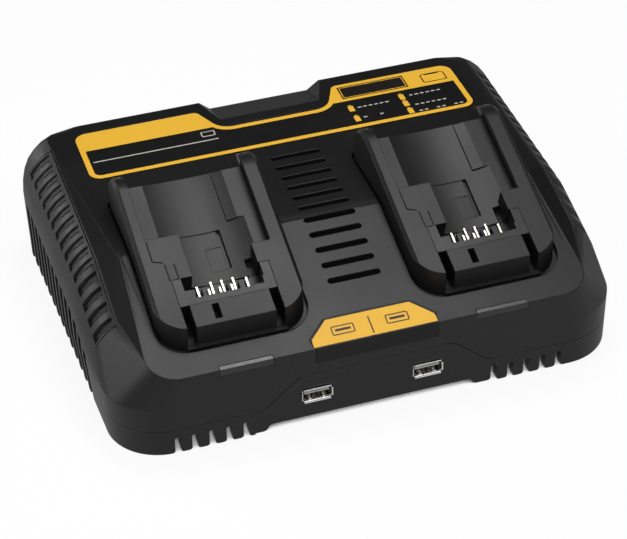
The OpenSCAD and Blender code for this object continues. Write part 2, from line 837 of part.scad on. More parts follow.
module left_terminal_block() { terminal_block(LEFT); }
module right_terminal_block() { terminal_block(RIGHT); }
module left_terminal_blades() { terminal_blades(LEFT); }
module right_terminal_blades() { terminal_blades(RIGHT); }
module left_terminal_board() { terminal_board(LEFT); }
module right_terminal_board() { terminal_board(RIGHT); }

/* ---------- labels and indicator lamps ---------- */

module rear_label() {
    color("#f2b400")
        translate([0, 0, deck_h - label_sink])
            linear_extrude(height = label_t) rear_label_outline(fit);
}

module front_label() {
    color("#f2b400")
        intersection() {
            front_label_zone(fit);
            difference() {
                body_form(label_sink - label_t);
                body_form(label_sink);
            }
        }
}

module indicator_lens(side) {
    color("#3a3d40")
        union() {
            intersection() {
                body_form();
                lens_zone(side);
            }
            // light guide behind the front wall, down to the lamps
            at_lens(side) {
                box([-guide_hw, guide_y0, lamp_top], [guide_hw, guide_y1, guide_top]);
                box([-guide_hw, wall - 0.5, lens_z0 + fit], [guide_hw, guide_y1, guide_top]);
            }
        }
}

module indicator_board(side) {
    color("#1f5a34")
        at_lens(side)
            box([-lamp_board_hw, wall + 1.4, lamp_board_z],
                [lamp_board_hw, wall + 7.5, lamp_board_z + board_t]);
    color("#e8e6d8")
        at_lens(side)
            for (x = [-6, 0, 6])
                box([x - 1.5, guide_y0 + fit, lamp_board_z + board_t], [x + 1.5, guide_y1, lamp_top]);
}

module left_indicator_lens() { indicator_lens(LEFT); }
module right_indicator_lens() { indicator_lens(RIGHT); }
module left_indicator_board() { indicator_board(LEFT); }
module right_indicator_board() { indicator_board(RIGHT); }

/* ---------- USB outlets ---------- */

// children are placed with the origin in the middle of an outlet's mouth
module at_usb(side) {
    translate([usb_mid + side * usb_x, -usb_face, usb_z]) children();
}

module usb_shell(side) {
    in_w = usb_w / 2 - usb_sheet;
    in_h = usb_h / 2 - usb_sheet;
    color("#c4c7ca")
        at_usb(side)
            difference() {
                union() {
                    box([-usb_w / 2, 0, -usb_h / 2], [usb_w / 2, usb_depth, usb_h / 2]);
                    box([-usb_lip_w / 2, -0.2, -usb_lip_h / 2],
                        [usb_lip_w / 2, panel_sink - 0.4, usb_lip_h / 2]);
                }
                box([-in_w, -1, -in_h], [in_w, usb_depth - usb_sheet, in_h]);
            }
}

module usb_tongue(side) {
    in_w = usb_w / 2 - usb_sheet;
    in_h = usb_h / 2 - usb_sheet;
    color("#e9e9e6")
        at_usb(side) {
            box([-tongue_w / 2, 1.5, 0.1], [tongue_w / 2, usb_depth - usb_sheet, 0.1 + tongue_t]);
            box([-in_w, 10, -in_h], [in_w, usb_depth - usb_sheet, in_h]);
        }
}

module usb_contacts(side) {
    color("#c9a227")
        at_usb(side)
            for (i = [-1.5 : 1 : 1.5])
                translate([i * contact_pitch, 0, 0]) box([-0.5, 2.4, -0.1], [0.5, 10, 0.1]);
}

module left_usb_shell() { usb_shell(LEFT); }
module right_usb_shell() { usb_shell(RIGHT); }
module left_usb_tongue() { usb_tongue(LEFT); }
module right_usb_tongue() { usb_tongue(RIGHT); }
module left_usb_contacts() { usb_contacts(LEFT); }
module right_usb_contacts() { usb_contacts(RIGHT); }

module usb_circuit_board() {
    color("#1f5a34")
        box([-usb_post_x - 5, 5 - half_d + wall, usb_board_z - board_t],
            [usb_post_x + 5, 24 - half_d, usb_board_z]);
    color("#26282a")
        for (x = [-6, 6])
            box([x - 3, 12 - half_d, usb_board_z], [x + 3, 18 - half_d, usb_board_z + 2]);
}

/* ---------- power supply ---------- */

module main_circuit_board() {
    color("#1f5a34")
        difference() {
            box([board_x0, board_y0, board_z], [-board_x0, board_y0 + board_w, board_top]);
            for (p = posts)
                translate([p[0], p[1], board_z - 1]) cylinder(r = 1.6, h = 5, $fn = 24);
        }
}

module at_core() {
    translate([0, core_y, board_top + core_lift]) children();
}

// E-shaped ferrite core standing on the board
module transformer_core() {
    color("#3b3d3f")
        at_core()
            difference() {
                box([-core_hw, -core_limb, 0], [core_hw, core_limb, core_h]);
                for (s = [0, 1])
                    mirror([s, 0, 0])
                        box([core_pole, -20, core_limb], [core_hw - core_limb, 20, core_h - core_limb]);
            }
}

module transformer_winding() {
    color("#c9a24a")
        at_core()
            difference() {
                box([-winding_hw, -winding_hd, core_limb], [winding_hw, winding_hd, core_h - core_limb]);
                box([-core_pole, -core_limb, 0], [core_pole, core_limb, core_h]);
            }
    // bobbin feet down to the board
    color("#20242a")
        for (s = [0, 1])
            translate([0, core_y, board_top])
                mirror([0, s, 0])
                    box([1 - winding_hw, core_limb + 0.5, 0],
                        [winding_hw - 1, winding_hd - 0.5, core_limb + core_lift]);
}

module upright_cans(places, r, h) {
    for (c = places)
        translate([c[0], c[1], board_top]) cylinder(r = r, h = h, $fn = 48);
}

module bulk_capacitors() {
    color("#22355c") upright_cans(bulk_cans, 9, 30);
}

module output_capacitors() {
    color("#22355c") upright_cans(output_cans, 4, 16);
}

module at_choke() {
    translate([choke_at[0], choke_at[1], board_top]) children();
}

module line_choke_core() {
    color("#4a4f49")
        at_choke()
            rotate_extrude($fn = 64) translate([choke_r, 0]) square([choke_w, choke_h]);
}

module line_choke_winding() {
    color("#b5652a")
        at_choke()
            for (a = [-50, 130])
                difference() {
                    rotate([0, 0, a])
                        rotate_extrude(angle = 100, $fn = 64)
                            translate([choke_r - wire_t, 0]) square([choke_w + 2 * wire_t, choke_h + wire_t]);
                    translate([0, 0, -1])
                        rotate_extrude($fn = 64)
                            translate([choke_r - fit, 0]) square([choke_w + 2 * fit, choke_h + 1 + fit]);
                }
}

module line_filter_capacitor() {
    color("#c2a13a")
        translate([film_cap_at[0], film_cap_at[1], board_top]) cube([18, 8, 15]);
}

module line_fuse() {
    translate([fuse_at[0], fuse_at[1], board_top]) {
        color("#d9d9d2")
            translate([0, 0, fuse_r + 0.4]) rotate([0, 90, 0]) cylinder(r = fuse_r, h = fuse_l, $fn = 32);
        color("#b9bcbe")
            for (x = [-1, fuse_l - 3])
                translate([x, -2, 0]) cube([4, 4, 0.6]);
    }
}

module heat_sinks() {
    color("#b3b6b8")
        for (s = [0, 1])
            mirror([s, 0, 0])
                translate([sink_at[0], sink_at[1], board_top]) {
                    box([-sink_t / 2, -sink_l / 2, 0], [sink_t / 2, sink_l / 2, sink_h]);
                    for (y = [0 : sink_pitch : sink_l - sink_pitch])
                        translate([0, y - sink_l / 2, 0])
                            box([sink_t / 2, 0, 0], [sink_fin, sink_t / 2, sink_h]);
                }
}

module power_transistors() {
    color("#26282a")
        for (s = [0, 1], y = [-10, 6])
            mirror([s, 0, 0])
                translate([sink_at[0] - sink_t / 2 - chip_t, sink_at[1] + y, board_top])
                    cube([chip_t, 10, 16]);
}

/* ---------- fasteners, feet and cord inlet ---------- */

module housing_screws() {
    color("#8f9295")
        for (b = bosses)
            translate([b[0], b[1], 0]) {
                translate([0, 0, floor_z0 + 0.6]) cylinder(r = 3, h = 2.2, $fn = 32);
                translate([0, 0, floor_z0 + 2]) cylinder(r = screw_r, h = boss_z + 11 - floor_z0 - 2, $fn = 32);
            }
}

module board_screws() {
    color("#a9abad")
        for (p = posts)
            translate([p[0], p[1], 0]) {
                translate([0, 0, board_top]) cylinder(r = 2.6, h = 1.8, $fn = 32);
                translate([0, 0, floor_z1 + 0.5]) cylinder(r = 1.25, h = board_top - floor_z1, $fn = 24);
            }
}

module rubber_feet() {
    color("#2a2a2a")
        for (f = feet)
            translate([f[0], f[1], 0]) {
                cylinder(r = 6.5, h = floor_z0, $fn = 48);
                cylinder(r = 2, h = floor_z1, $fn = 24);
            }
}

// rubber bush for the mains cord, in the rear wall
module cord_inlet_gland() {
    color("#232324")
        translate([gland_x, half_d - 0.6, gland_z])
            rotate([90, 0, 0])
                difference() {
                    union() {
                        cylinder(r = gland_r, h = 10, $fn = 48);
                        translate([0, 0, 3.7]) cylinder(r = gland_r + 2, h = 2, $fn = 48);
                    }
                    translate([0, 0, -1]) cylinder(r = cord_r, h = 20, $fn = 48);
                }
}

upper_housing();
lower_housing();
left_battery_cradle();
right_battery_cradle();
left_terminal_block();
right_terminal_block();
left_terminal_blades();
right_terminal_blades();
left_terminal_board();
right_terminal_board();
rear_label();
front_label();
left_indicator_lens();
right_indicator_lens();
left_indicator_board();
right_indicator_board();
left_usb_shell();
right_usb_shell();
left_usb_tongue();
right_usb_tongue();
left_usb_contacts();
right_usb_contacts();
usb_circuit_board();
main_circuit_board();
transformer_core();
transformer_winding();
bulk_capacitors();
output_capacitors();
line_choke_core();
line_choke_winding();
line_filter_capacitor();
line_fuse();
heat_sinks();
power_transistors();
housing_screws();
board_screws();
cradle_screws();
rubber_feet();
cord_inlet_gland();
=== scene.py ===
import math

import bmesh
import bpy
import numpy as np
from mathutils import Matrix, Vector


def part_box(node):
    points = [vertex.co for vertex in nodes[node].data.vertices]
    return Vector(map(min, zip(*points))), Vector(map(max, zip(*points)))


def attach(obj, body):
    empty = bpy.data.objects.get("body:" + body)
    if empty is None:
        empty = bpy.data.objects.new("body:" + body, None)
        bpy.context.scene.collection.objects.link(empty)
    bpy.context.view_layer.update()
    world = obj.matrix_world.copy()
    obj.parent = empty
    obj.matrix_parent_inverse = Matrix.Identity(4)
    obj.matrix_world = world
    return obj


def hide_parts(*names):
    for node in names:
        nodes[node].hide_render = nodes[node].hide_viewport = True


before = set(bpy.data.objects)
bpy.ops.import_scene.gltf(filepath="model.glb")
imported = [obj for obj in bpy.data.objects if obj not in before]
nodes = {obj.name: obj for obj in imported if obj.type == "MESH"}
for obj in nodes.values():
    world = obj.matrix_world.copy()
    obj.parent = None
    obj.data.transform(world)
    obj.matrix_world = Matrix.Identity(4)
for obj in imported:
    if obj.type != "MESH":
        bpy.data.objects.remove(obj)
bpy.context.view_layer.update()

MM = 0.001
scene = bpy.context.scene


# ---------------------------------------------------------------- colours and material nodes
def lin(code):
    """sRGB hex string to linear RGBA: ((c + 0.055) / 1.055) ** 2.4 above the toe, c / 12.92 in it."""
    c = [int(code[i:i + 2], 16) / 255 for i in (1, 3, 5)]
    return tuple(v / 12.92 if v <= 0.04045 else ((v + 0.055) / 1.055) ** 2.4 for v in c) + (1.0,)


def add(tree, kind, links=(), **settings):
    """One node of a tree: settings are its properties or, by name, its input values; links are
    (input, output socket) pairs that run into it."""
    node = tree.nodes.new("ShaderNode" + kind)
    for key, value in settings.items():
        if hasattr(node, key):
            setattr(node, key, value)
        else:
            node.inputs[key.replace("_", " ")].default_value = value
    for key, out in links:
        tree.links.new(node.inputs[key], out)
    return node


def begin(name):
    """An empty material, its tree, its main shader and the object coordinates in metres."""
    m = bpy.data.materials.new(name)
    m.use_nodes = True
    t = m.node_tree
    return m, t, t.nodes["Principled BSDF"], add(t, "TexCoord").outputs["Object"]


CLOUD_MM = 38  # width of the clouds that handling leaves


def plastic(name, colour, rough, grain_mm, grain_depth, edge_mm=0.5, spread=0.07, specular=0.5):
    """Moulded polymer. The mould leaves an even grain of grain_mm, grain_depth deep, which makes the
    surface matt; corners are rounded by edge_mm. Broad clouds change the tone by spread, as handling does."""
    m, t, shader, place = begin(name)
    grain = add(t, "TexNoise", [("Vector", place)], Scale=1 / (grain_mm * MM), Detail=2.0, Roughness=0.6)
    cloud = add(t, "TexNoise", [("Vector", place)], Scale=1 / (CLOUD_MM * MM), Detail=3.0, Roughness=0.55)
    tone = add(t, "ValToRGB", [("Fac", cloud.outputs["Fac"])])
    base = lin(colour)
    tone.color_ramp.elements[0].position = 0.3
    tone.color_ramp.elements[0].color = tuple(v * (1 - spread) for v in base[:3]) + (1,)
    tone.color_ramp.elements[1].position = 0.7
    tone.color_ramp.elements[1].color = tuple(v * (1 + spread) for v in base[:3]) + (1,)
    both = add(t, "Math", [(0, grain.outputs["Fac"]), (1, cloud.outputs["Fac"])], operation="ADD")
    gloss = add(t, "MapRange", [("Value", both.outputs["Value"])], From_Min=0.7, From_Max=1.3,
                To_Min=rough - 0.05, To_Max=rough + 0.05)
    edge = add(t, "Bevel", samples=8, Radius=edge_mm * MM)
    bump = add(t, "Bump", [("Height", grain.outputs["Fac"]), ("Normal", edge.outputs["Normal"])],
               Strength=1.0, Distance=grain_depth * MM)
    t.links.new(shader.inputs["Base Color"], tone.outputs["Color"])
    t.links.new(shader.inputs["Roughness"], gloss.outputs["Result"])
    t.links.new(shader.inputs["Normal"], bump.outputs["Normal"])
    shader.inputs["IOR"].default_value = 1.48
    shader.inputs["Specular IOR Level"].default_value = specular
    return m


def metal(name, colour, rough, line_mm, along=2, edge_mm=0.12, line_depth=0.002):
    """Sheet or machined metal: fine rolling or turning lines line_mm apart that run along one axis."""
    m, t, shader, place = begin(name)
    stretch = [1.0, 1.0, 1.0]
    stretch[along] = 0.04
    turned = add(t, "Mapping", [("Vector", place)], Scale=stretch)
    lines = add(t, "TexNoise", [("Vector", turned.outputs["Vector"])], Scale=1 / (line_mm * MM), Detail=2.0)
    gloss = add(t, "MapRange", [("Value", lines.outputs["Fac"])], From_Min=0.3, From_Max=0.7,
                To_Min=rough - 0.06, To_Max=rough + 0.06)
    edge = add(t, "Bevel", samples=4, Radius=edge_mm * MM)
    bump = add(t, "Bump", [("Height", lines.outputs["Fac"]), ("Normal", edge.outputs["Normal"])],
               Strength=1.0, Distance=line_depth * MM)
    t.links.new(shader.inputs["Roughness"], gloss.outputs["Result"])
    t.links.new(shader.inputs["Normal"], bump.outputs["Normal"])
    shader.inputs["Base Color"].default_value = lin(colour)
    shader.inputs["Metallic"].default_value = 1.0
    return m


def wound(name, valley_shade, light, pitch_mm, rough, metallic=0.0, axis="Z"):
    """Wire or tape laid turn by turn: a round ridge each pitch_mm across the axis, with painted shade that
    darkens the valleys.
    """
    m, t, shader, place = begin(name)
    turns = add(t, "TexWave", [("Vector", place)], wave_type="BANDS", bands_direction=axis,
                Scale=math.pi / (10 * pitch_mm * MM), Distortion=0.6, Detail=1.0)
    # Painted shade: the colour runs from the darker tone in the valleys between the turns to the lighter one
    # on the ridges.
    tone = add(t, "ValToRGB", [("Fac", turns.outputs["Fac"])])
    tone.color_ramp.elements[0].color = lin(valley_shade)
    tone.color_ramp.elements[1].color = lin(light)
    bump = add(t, "Bump", [("Height", turns.outputs["Fac"])], Strength=0.8, Distance=pitch_mm * 0.4 * MM)
    t.links.new(shader.inputs["Base Color"], tone.outputs["Color"])
    t.links.new(shader.inputs["Normal"], bump.outputs["Normal"])
    shader.inputs["Roughness"].default_value = rough
    shader.inputs["Metallic"].default_value = metallic
    return m


# Grain and line sizes are in millimetres. Real mould grain is roughly 0.1 mm and rolling lines are finer, too
# fine to show, so grain is drawn at 0.3 to 0.9 mm and lines at 0.15 to 0.3 mm.

# Black ABS from a spark-eroded mould: matt, a fine even grain, soft broad highlights.
housing_abs = plastic("abs_spark_eroded_black", "#121213", 0.42, 0.7, 0.020, 0.55, 0.05, 0.38)
# The same ABS from a smoother mould: a shallower grain, so it catches light a little more evenly.
cradle_abs = plastic("abs_fine_grain_black", "#171718", 0.42, 0.5, 0.010, 0.35, 0.06, 0.36)
# Glass-filled PBT: heat resistant, a trace glossier, crisp corners.
terminal_pbt = plastic("pbt_moulded_black", "#161618", 0.4, 0.6, 0.008, 0.25, 0.05, 0.4)
# Polycarbonate with smoke tint, from a smooth mould: it mirrors the room softly.
smoked_pc = plastic("polycarbonate_smoked", "#29292b", 0.3, 2.0, 0.002, 0.4, 0.03)
# Polyester film, printed black and overcoated: flat, satin, a slight orange peel.
label_film = plastic("polyester_film_black", "#111112", 0.45, 1.6, 0.003, 0.1, 0.03, 0.25)
# Screen ink on the film: opaque, with a little tooth.
ink_yellow = plastic("screen_ink_yellow", "#e2af36", 0.5, 0.5, 0.003, 0.05, 0.02, 0.3)
ink_pale = plastic("screen_ink_pale_grey", "#b9b6ac", 0.45, 0.5, 0.003, 0.05, 0.02, 0.35)
ink_dark = plastic("screen_ink_black", "#1a1614", 0.42, 0.5, 0.003, 0.05, 0.02, 0.35)
# Nickel plating on brass blades: bright, a touch warm.
nickel = metal("nickel_plated_brass", "#c9c4ba", 0.34, 0.25, 1, 0.06)
# Stamped stainless steel of the outlets: bright, with rolling lines that run across them.
stainless = metal("stainless_steel_stamped", "#dcdcdd", 0.2, 0.2, 0)
# Gold flash over nickel on stamped contacts: warm and bright.
gold = metal("gold_flash_contact", "#e2bb66", 0.25, 0.15, 1)
# Zinc plating on rolled screws: cool grey, satin, with soft edges.
zinc = metal("zinc_plated_steel", "#b9bcc0", 0.3, 0.2, 2, 0.25)
# Extruded aluminium: pale, with upright die lines.
aluminium = metal("aluminium_extruded", "#c3c5c7", 0.34, 0.3, 2, 0.2, 0.006)
# Liquid crystal polymer, moulded: off-white, satin, sharp edges.
lcp = plastic("lcp_moulded_white", "#f2f0ea", 0.4, 0.3, 0.004, 0.15, 0.02)
# Nitrile feet and bush: dull, dusty black.
foot_nitrile = plastic("nitrile_rubber_moulded", "#1c1c1d", 0.72, 0.9, 0.03, 0.8, 0.1, 0.3)
gland_nitrile = plastic("nitrile_rubber_soft", "#18181a", 0.66, 0.7, 0.02, 0.6, 0.08, 0.3)
# FR4 board under green solder mask; the clouds stand for the copper pour below it.
board_fr4 = plastic("fr4_solder_mask_green", "#1f5632", 0.32, 2.4, 0.02, 0.15, 0.2)
# Sintered ferrite: dark grey, ceramic, dull.
ferrite = plastic("ferrite_sintered_grey", "#3a3c3e", 0.6, 0.35, 0.03, 0.6, 0.1)
# PVC sleeve shrunk over a can: glossy, with slow ripples.
sleeve = plastic("pvc_shrink_sleeve_blue", "#21345a", 0.26, 5.0, 0.02, 0.8, 0.05)
# Epoxy the capacitor was dipped in: round edges, an uneven gloss.
film_case = plastic("epoxy_dipped_ochre", "#bd9a34", 0.35, 2.5, 0.04, 1.2, 0.06)
# Drawn glass tube, seen as one pale polished body.
fuse_tube = plastic("borosilicate_tube", "#cfd2cf", 0.08, 3.0, 0.002, 0.2, 0.04, 0.6)
# Transfer-moulded epoxy of the transistors: matt near-black.
chip_epoxy = plastic("epoxy_moulding_compound", "#232325", 0.5, 0.4, 0.015, 0.3)
# Polyester tape wound over the transformer: satin bands 3 mm apart, with painted shade between the turns.
tape = wound("polyester_tape_yellow", "#b98d2f", "#d9b04d", 3.0, 0.35)
# Enamelled wire 0.9 mm thick: glossy, orange brown, with painted shade between the turns.
copper = wound("enamelled_copper_wire", "#6d3414", "#c9743a", 0.9, 0.24, 1.0, "X")

FINISH = {
    "upper_housing": housing_abs, "lower_housing": housing_abs,
    "left_battery_cradle": cradle_abs, "right_battery_cradle": cradle_abs,
    "left_terminal_block": terminal_pbt, "right_terminal_block": terminal_pbt,
    "left_terminal_blades": nickel, "right_terminal_blades": nickel,
    "left_terminal_board": board_fr4, "right_terminal_board": board_fr4,
    "rear_label": label_film, "front_label": label_film,
    "left_indicator_lens": smoked_pc, "right_indicator_lens": smoked_pc,
    "left_indicator_board": board_fr4, "right_indicator_board": board_fr4,
    "left_usb_shell": stainless, "right_usb_shell": stainless,
    "left_usb_tongue": lcp, "right_usb_tongue": lcp,
    "left_usb_contacts": gold, "right_usb_contacts": gold,
    "usb_circuit_board": board_fr4, "main_circuit_board": board_fr4,
    "transformer_core": ferrite, "transformer_winding": tape,
    "bulk_capacitors": sleeve, "output_capacitors": sleeve,
    "line_choke_core": ferrite, "line_choke_winding": copper,
    "line_filter_capacitor": film_case, "line_fuse": fuse_tube,
    "heat_sinks": aluminium, "power_transistors": chip_epoxy,
    "housing_screws": zinc, "board_screws": zinc, "cradle_screws": zinc,
    "rubber_feet": foot_nitrile, "cord_inlet_gland": gland_nitrile,
}
for name, obj in nodes.items():
    obj.data.materials.clear()
    obj.data.materials.append(FINISH[name])


# ---------------------------------------------------------------- moulded shells with flowing surfaces
SAME_PLANE = math.cos(math.radians(0.5))
LARGE_PATCH = 600  # square millimetres


def flow(mesh, crease):
    """Corner normals. At each corner it is the sum of the normals of the faces that share the point and
    turn less than crease degrees from the corner's own face, each times its angle at the point and
    1 + (area of its flat patch / LARGE_PATCH) ** 2. So flats stay flat, rounds flow and creases stay
    crisp."""
    count = len(mesh.polygons)
    normal = np.empty(count * 3)
    mesh.polygons.foreach_get("normal", normal)
    normal = normal.reshape(-1, 3)
    area = np.empty(count)
    mesh.polygons.foreach_get("area", area)
    point = np.empty(len(mesh.loops), int)
    mesh.loops.foreach_get("vertex_index", point)
    edge = np.empty(len(mesh.loops), int)
    mesh.loops.foreach_get("edge_index", edge)
    place = np.empty(len(mesh.vertices) * 3)
    mesh.vertices.foreach_get("co", place)
    place = place.reshape(-1, 3)
    face = np.repeat(np.arange(count), 3)
    order = np.argsort(edge, kind="stable")
    first, second = face[order[0::2]], face[order[1::2]]
    flat = (normal[first] * normal[second]).sum(1) > SAME_PLANE
    first, second = first[flat], second[flat]
    patch = np.arange(count)
    while True:
        low = np.minimum(patch[first], patch[second])
        new = patch.copy()
        np.minimum.at(new, first, low)
        np.minimum.at(new, second, low)
        new = new[new]
        if (new == patch).all():
            break
        patch = new
    size = np.bincount(patch, area, count)[patch] / MM ** 2
    tri = place[point.reshape(-1, 3)]
    ahead = np.roll(tri, -1, 1) - tri
    back = np.roll(tri, 1, 1) - tri
    lengths = np.linalg.norm(ahead, axis=2) * np.linalg.norm(back, axis=2)
    cosine = (ahead * back).sum(2) / np.maximum(lengths, 1e-12)
    weight = np.arccos(np.clip(cosine, -1, 1)).ravel() * (1 + (size[face] / LARGE_PATCH) ** 2)
    corner = normal[face]
    result = corner.copy()
    by_point = np.argsort(point, kind="stable")
    for group in np.split(by_point, np.flatnonzero(np.diff(point[by_point])) + 1):
        n = corner[group]
        near = n @ n.T > math.cos(math.radians(crease))
        result[group] = near @ (n * weight[group][:, None])
    result /= np.linalg.norm(result, axis=1)[:, None]
    mesh.shade_smooth()
    mesh.normals_split_custom_set(result.tolist())


DECK_H, DECK_SLOPE, CREASE_Y = 60.0, math.radians(16), -21.25
EASE, ARC_STEPS = 4.2, 8
# A deck face points up by more than DECK_NORMAL_Z and lies above DECK_ABOVE; a point of it is within ON_PLANE
# millimetres of the sharp deck.
DECK_NORMAL_Z, DECK_ABOVE, ON_PLANE = 0.95, 55 * MM, 0.02
MERGE = 0.002 * MM  # points closer than this are one


def ease_deck(bm):
    """Rounds the crease of the deck: near it each point of the deck takes the height of an arc that touches
    both planes EASE from the crease, z = top - r + sqrt(r * r - (y0 - y) ** 2) with
    r = EASE / tan(half slope)."""
    r = EASE / math.tan(DECK_SLOPE / 2)
    y0 = CREASE_Y + EASE
    ends = y0 - r * math.sin(DECK_SLOPE)
    for step in range(ARC_STEPS + 1):
        y = y0 - r * math.sin(DECK_SLOPE * step / ARC_STEPS)
        faces = [f for f in bm.faces
                 if f.normal.z > DECK_NORMAL_Z and f.calc_center_median().z > DECK_ABOVE]
        geom = list({v for f in faces for v in f.verts}) + list({e for f in faces for e in f.edges}) + faces
        bmesh.ops.bisect_plane(bm, geom=geom, dist=1e-7, plane_co=(0, y * MM, 0), plane_no=(0, 1, 0))
    for v in bm.verts:
        y, z = v.co.y / MM, v.co.z / MM
        plane = DECK_H + min(y - CREASE_Y, 0) * math.tan(DECK_SLOPE)
        if ends < y < y0 and abs(z - plane) < ON_PLANE:
            v.co.z = (DECK_H - r + math.sqrt(r * r - (y0 - y) ** 2)) * MM


def moulded(name, piece_name, crease=11.5, eased=False):
    """A copy of a node's mesh with its points merged and flowing normals."""
    mesh = nodes[name].data.copy()
    mesh.name = piece_name
    bm = bmesh.new()
    bm.from_mesh(mesh)
    bmesh.ops.remove_doubles(bm, verts=bm.verts, dist=MERGE)
    if eased:
        ease_deck(bm)
    bmesh.ops.triangulate(bm, faces=bm.faces)
    bm.to_mesh(mesh)
    bm.free()
    flow(mesh, crease)
    piece = bpy.data.objects.new(piece_name, mesh)
    scene.collection.objects.link(piece)
    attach(piece, "root")
    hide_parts(name)
    return piece


moulded("upper_housing", "housing_cover", eased=True)
moulded("lower_housing", "housing_tray")
for side in ("left", "right"):
    moulded(side + "_battery_cradle", side + "_bay_cradle")
    moulded(side + "_indicator_lens", side + "_lamp_window")
moulded("rubber_feet", "bench_feet")
moulded("cord_inlet_gland", "cord_bush")


# ---------------------------------------------------------------- printing on the labels
def rounded(corners, radii, steps=8):
    """Closed path through corners with tangent arcs: an arc of radius r starts r / tan(half angle)
    before its corner, about a centre r / sin(half angle) along the bisector."""
    p = np.array(corners, float)
    r = np.broadcast_to(np.array(radii, float), len(p))[:, None]
    a = np.roll(p, 1, 0) - p
    b = np.roll(p, -1, 0) - p
    a /= np.linalg.norm(a, axis=1)[:, None]
    b /= np.linalg.norm(b, axis=1)[:, None]
    half = np.arccos(np.clip((a * b).sum(1), -1, 1))[:, None] / 2
    mid = (a + b) / np.linalg.norm(a + b, axis=1)[:, None]
    centre = p + mid * r / np.sin(half)
    start = p + a * r / np.tan(half) - centre
    sweep = (np.pi - 2 * half) * np.sign(a[:, :1] * b[:, 1:] - a[:, 1:] * b[:, :1]) * -1
    turn = sweep * np.linspace(0, 1, steps)[None, :]
    x = centre[:, :1] + start[:, :1] * np.cos(turn) - start[:, 1:] * np.sin(turn)
    y = centre[:, 1:] + start[:, :1] * np.sin(turn) + start[:, 1:] * np.cos(turn)
    return np.stack([x.ravel(), y.ravel()], 1)


def inset(path, t):
    """A closed anticlockwise path moved inwards by t: each point goes t / cos(half turn) along its normal."""
    before = path - np.roll(path, 1, 0)
    after = np.roll(path, -1, 0) - path
    n0 = np.stack([-before[:, 1], before[:, 0]], 1) / np.linalg.norm(before, axis=1)[:, None]
    n1 = np.stack([-after[:, 1], after[:, 0]], 1) / np.linalg.norm(after, axis=1)[:, None]
    n = n0 + n1
    return path + 2 * t * n / (n * n).sum(1)[:, None]


def frame_band(corners, radii, width):
    """Closed band of a given width inside a rounded outline."""
    edge = rounded(corners, radii)
    return edge, inset(edge, width), True


def bar(x0, y0, x1, y1):
    """Rectangle between two corners, as an open band."""
    return np.array([[x0, y0], [x1, y0]], float), np.array([[x0, y1], [x1, y1]], float), False


FILM_PROUD = 0.1  # the films stand this far above the deck


def on_deck(xy, h):
    """Point on the level rear label, h above its film."""
    return np.stack([xy[:, 0], xy[:, 1], np.full(len(xy), DECK_H + FILM_PROUD + h)], 1)


def on_slope(xy, h):
    """Point on the front label: z falls by tan(slope) a millimetre from the crease; h is measured at right
    angles to the slope."""
    z = DECK_H + (xy[:, 1] - CREASE_Y) * math.tan(DECK_SLOPE)
    h = h + FILM_PROUD
    return np.stack([xy[:, 0], xy[:, 1] - h * math.sin(DECK_SLOPE), z + h * math.cos(DECK_SLOPE)], 1)


def printed(name, material, bands, place, height):
    """Ink layer: each band is raised by height from the film."""
    return solid(name, material, [band + (place, height) for band in bands])


def solid(name, material, bands):
    """Joins bands: each is the strip between two edges of n points, taken to space by place(point, h) at
    h = 0 and h = height, so a section across it is a rectangle carried along the pair of edges."""
    verts, faces, start = [], [], 0
    for left, right, closed, place, height in bands:
        n = len(left)
        ring = np.stack([place(left, 0), place(right, 0), place(right, height), place(left, height)], 1)
        verts.append(ring.reshape(-1, 3))
        i = np.arange(n if closed else n - 1)[:, None]
        j = (i + 1) % n
        c = np.arange(4)[None, :]
        d = (c + 1) % 4
        quads = np.stack([i * 4 + c, i * 4 + d, j * 4 + d, j * 4 + c], -1).reshape(-1, 4)
        if not closed:
            quads = np.vstack([quads, [[3, 2, 1, 0]], [[n * 4 - 4, n * 4 - 3, n * 4 - 2, n * 4 - 1]]])
        faces.append(quads + start)
        start += 4 * n
    mesh = bpy.data.meshes.new(name)
    mesh.from_pydata((np.vstack(verts) * MM).tolist(), [], np.vstack(faces).tolist())
    bm = bmesh.new()
    bm.from_mesh(mesh)
    bmesh.ops.recalc_face_normals(bm, faces=bm.faces)
    bm.to_mesh(mesh)
    bm.free()
    mesh.materials.append(material)
    piece = bpy.data.objects.new(name, mesh)
    scene.collection.objects.link(piece)
    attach(piece, "root")
    return piece


LABEL_HALF = [(91.5, 37.6), (91.5, 75.9), (33.1, 75.9), (25.8, 58.9)]
LABEL_RADII = [5.5, 5.5, 3, 9]
RING, FIELD_TOP, HEADER_LAP = 2.5, 61.2, 0.3
outline = rounded(LABEL_HALF + [(-x, y) for x, y in reversed(LABEL_HALF)], LABEL_RADII + LABEL_RADII[::-1])
border = inset(outline, RING)


def header(side):
    """Solid band above FIELD_TOP on one side: under each point of the border lies one on the base line."""
    top = border[(border[:, 1] > FIELD_TOP) & (border[:, 0] * side > 0)]
    top = top[np.argsort(top[:, 0])] + np.array([0, HEADER_LAP])
    base = top.copy()
    base[:, 1] = FIELD_TOP
    return base, top, False


def battery(x, y, w, h, line):
    """Pictogram of a battery pack seen from the front: an outline with cut upper corners."""
    c = h * 0.28
    corners = [(x - w, y - h), (x + w, y - h), (x + w, y + h - c),
               (x + w - c, y + h), (x - w + c, y + h), (x - w, y + h - c)]
    return frame_band(corners, 0.8, line)


def pack_icon(x, y):
    """Small upright battery: a body, and a cap above it."""
    return [bar(x - 1.3, y - 2.6, x + 1.3, y + 1.8), bar(x - 0.7, y + 2.1, x + 0.7, y + 2.8)]


